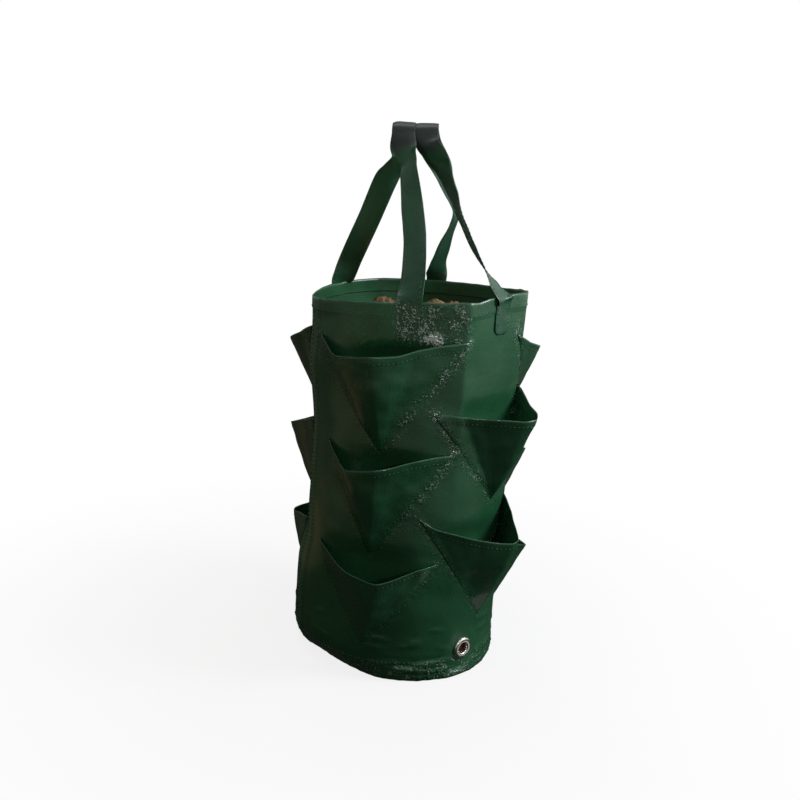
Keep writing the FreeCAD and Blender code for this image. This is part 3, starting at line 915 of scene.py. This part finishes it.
green_strap = woven_polyethylene("woven_polyethylene_strap", "#1e4630", "#2b573e")
for side, ends in (("left", ("strap_end_front", "strap_end_left")),
                   ("right", ("strap_end_right", "strap_end_back"))):
    mesh, run_length = strap_mesh(f"handle_{side}_strap", handle_runs[side])
    strap = new_object(f"handle_{side}_strap", mesh, green_strap)
    filled = bmesh.new()
    filled.from_mesh(mesh)
    bmesh.ops.holes_fill(filled, edges=[e for e in filled.edges if e.is_boundary], sides=strap_round + 2)
    filled.to_mesh(mesh)
    filled.free()
    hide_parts(f"handle_{side}", *ends)
    thread = stitched(f"handle_{side}_stitching", strap_rows(handle_runs[side]), 0.24)
    for piece in (strap, thread):
        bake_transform(piece)

# The drain eyelets: pressed steel rings with a bright nickel finish, clinched through the wall by a
# washer inside.

# Nickel-plated steel, pressed and tumbled bright: a warm white mirror whose rolled edges catch the light,
# with scuffs about 1.5 mm apart that dull it a little.
nickel, tree = new_material("nickel_plated_steel")
body = add_node(tree, "ShaderNodeTexCoord").outputs["Object"]
scuff = add_node(tree, "ShaderNodeTexNoise", {"Scale": 1 / (1.5 * mm), "Detail": 5.0}, {"Vector": body})
worn = add_node(tree, "ShaderNodeMapRange", {"To Min": 0.16, "To Max": 0.38},
                {"Value": scuff.outputs["Fac"]})
plate = add_node(tree, "ShaderNodeMix",
                 {"data_type": "RGBA", 6: to_linear("#cac7c0"), 7: to_linear("#e8e6e0")},
                 {0: scuff.outputs["Fac"]})
bump = add_node(tree, "ShaderNodeBump", {"Strength": 0.15, "Distance": 0.1 * mm},
                {"Height": scuff.outputs["Fac"]})
shader = add_node(tree, "ShaderNodeBsdfPrincipled", {"Metallic": 1.0},
                  {"Base Color": plate.outputs[2], "Roughness": worn.outputs[0], "Normal": bump.outputs[0]})
add_node(tree, "ShaderNodeOutputMaterial", None, {"Surface": shader.outputs[0]})
for node in ("eyelet_washer_1", "eyelet_washer_2"):
    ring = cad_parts[node]
    ring.data.materials.clear()
    ring.data.materials.append(nickel)

# From the bore's inner end over the rolled face to the edge on the sheet: (radius, height over the wall)
eyelet_roll = ((5.0, -5.0), (5.0, -0.2), (5.1, 0.6), (5.4, 1.2), (6.0, 1.6), (6.8, 1.75), (8.4, 1.7),
               (9.3, 1.45), (9.9, 0.9), (10.2, 0.2), (10.0, -0.5), (9.6, -0.8), (5.6, -0.9), (5.6, -5.0))
eyelet_sides = 64
for number, (azimuth, height) in enumerate(eyelet_places, 1):
    middle = outward(azimuth) * bag_radius + Vector((0, 0, height))
    made = bmesh.new()
    rings = []
    for r, out in eyelet_roll:
        ring = []
        for k in range(eyelet_sides):
            angle = k * math.pi / (eyelet_sides / 2)
            spot = middle + outward(azimuth) * out + along(azimuth) * r * math.cos(angle)
            ring.append(made.verts.new((spot + Vector((0, 0, r * math.sin(angle)))) * mm))
        rings.append(ring)
    join_rings(made, rings + rings[:1])
    bmesh.ops.recalc_face_normals(made, faces=made.faces)
    mesh = finished_mesh(made, f"eyelet_{number}_ring")
    eyelet = new_object(f"eyelet_{number}_ring", mesh, nickel)
    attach(eyelet, "bag")
    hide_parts(f"eyelet_{number}")

# The planting soil: coir compost packed to just under the rim, crumbly on top with a few clods, and
# pressed against the sheet below, where it shows through the slits and the eyelets.
soil_top = 319.0
soil_foot = 6.0
soil_heap = 6.0
soil_gap = 3.5
side_share = 0.45
# Each clod: its place from the middle, half its width and its height
clods = ((-33, 3, 15, 17.0), (-20, 6, 11, 11.0), (15, 2, 13, 18.0),
         (32, -1, 12, 18.0), (-46, 34, 16, 5.0), (8, 48, 20, 6.0))


def soil_place(a, d):
    """Up the side against the sheet, then over the top to the middle."""
    azimuth = a * 360 - 180
    if d < side_share:
        z = soil_foot + (soil_top - soil_foot) * d / side_share
        spot, _ = wall_spot(azimuth, z)
        r = spot.xy.length - soil_gap
        spot = outward(azimuth) * r + Vector((0, 0, min(spot.z, soil_top)))
        return spot + outward(azimuth) * (0.8 * noise.noise(spot / 5) - 0.8), (0, 0), 0.0
    inner = 1 - (d - side_share) / (1 - side_share)
    rim_spot, _ = wall_spot(azimuth, soil_top)
    r = (rim_spot.xy.length - soil_gap - 0.8) * max(inner, 0.01)
    spot = outward(azimuth) * r
    rough = 3.6 * noise.fractal(spot / 17, 1.0, 2.0, 5)
    for x, y, wide, high in clods:
        gap = math.hypot(spot.x - x, spot.y - y) / wide + 0.25 * noise.noise(spot / 8)
        lump = high * math.sqrt(max(0.0, 1 - gap ** 2)) + 3.0 * noise.fractal(spot / 7, 0.8, 2.0, 4)
        rough = max(rough, lump)
    high = soil_top + soil_heap * (1 - inner ** 2) + rough * smooth(1.0, 0.93, inner)
    return spot + Vector((0, 0, high)), (0, 0), 0.0


# Coir compost: milled coconut husk, dry and matt, with crumbs of about 3.5 mm. It gives a mottle of pale
# fibre on dark earth.
coir, tree = new_material("coir_compost")
body = add_node(tree, "ShaderNodeTexCoord").outputs["Object"]
crumb = add_node(tree, "ShaderNodeTexVoronoi", {"Scale": 1 / (3.5 * mm)}, {"Vector": body})
dust = add_node(tree, "ShaderNodeTexNoise", {"Scale": 1 / (6 * mm), "Detail": 8.0}, {"Vector": body})
mottle = add_node(tree, "ShaderNodeMapRange", {"From Min": 0.3, "From Max": 0.7},
                  {"Value": dust.outputs["Fac"]})
brown = add_node(tree, "ShaderNodeMix",
                 {"data_type": "RGBA", 6: to_linear("#2a1f16"), 7: to_linear("#a98862")},
                 {0: mottle.outputs[0]})
bump = add_node(tree, "ShaderNodeBump", {"Strength": 0.8, "Distance": 1.5 * mm},
                {"Height": crumb.outputs["Distance"]})
bump = add_node(tree, "ShaderNodeBump", {"Strength": 0.8, "Distance": 1.0 * mm},
                {"Height": dust.outputs["Fac"], "Normal": bump.outputs[0]})
shader = add_node(tree, "ShaderNodeBsdfPrincipled", {"Roughness": 0.92, "IOR": 1.3},
                  {"Base Color": brown.outputs[2], "Normal": bump.outputs[0]})
add_node(tree, "ShaderNodeOutputMaterial", None, {"Surface": shader.outputs[0]})

soil_mesh = grid_mesh("soil_heap", soil_place, 220, 120, True)
soil = new_object("soil_heap", soil_mesh, coir)
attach(soil, "bag")
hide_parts("soil_fill")
